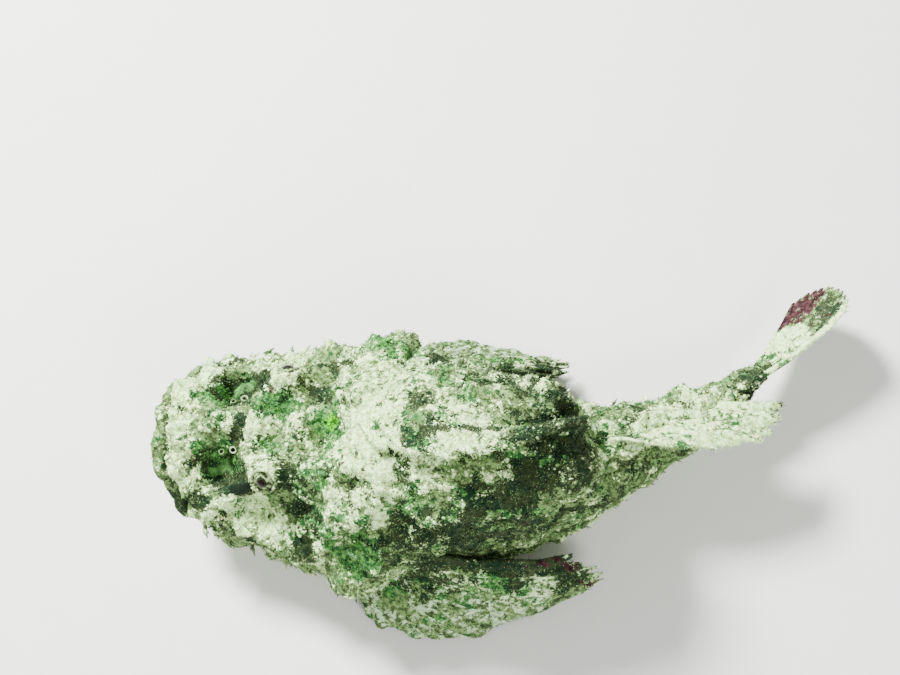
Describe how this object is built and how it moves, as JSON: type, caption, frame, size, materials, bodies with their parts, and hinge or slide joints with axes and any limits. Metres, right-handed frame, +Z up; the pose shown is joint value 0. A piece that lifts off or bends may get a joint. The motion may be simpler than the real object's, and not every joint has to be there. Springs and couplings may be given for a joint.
{
  "type": "false stonefish",
  "caption": "Life-size still model of a humpbacked false stonefish resting on its belly, tail curled to its right, fins folded.",
  "frame": {"origin": "centre of the belly's flat, on the floor, under the front of the hump", "axes": "+Z up; the head points towards -X and the tail towards +X, bent over towards +Y, the fish's right side"},
  "size_m": [0.2338, 0.1221, 0.0832],
  "materials": {
    "skin": "rough, warty, cream and moss green",
    "fin": "rough, mottled olive and cream",
    "eye": "wet and glossy, dark"
  },
  "bodies": {
    "root": {"head": "skin", "lower_jaw": "skin", "torso": "skin", "tail_stalk": "skin", "eye_left": "eye", "eye_right": "eye", "spiny_dorsal_fin": "fin", "soft_dorsal_fin": "fin", "anal_fin": "fin", "caudal_fin": "fin", "pectoral_fin_left": "fin", "pectoral_fin_right": "fin", "pelvic_fin_left": "fin", "pelvic_fin_right": "fin"}
  },
  "joints": []
}
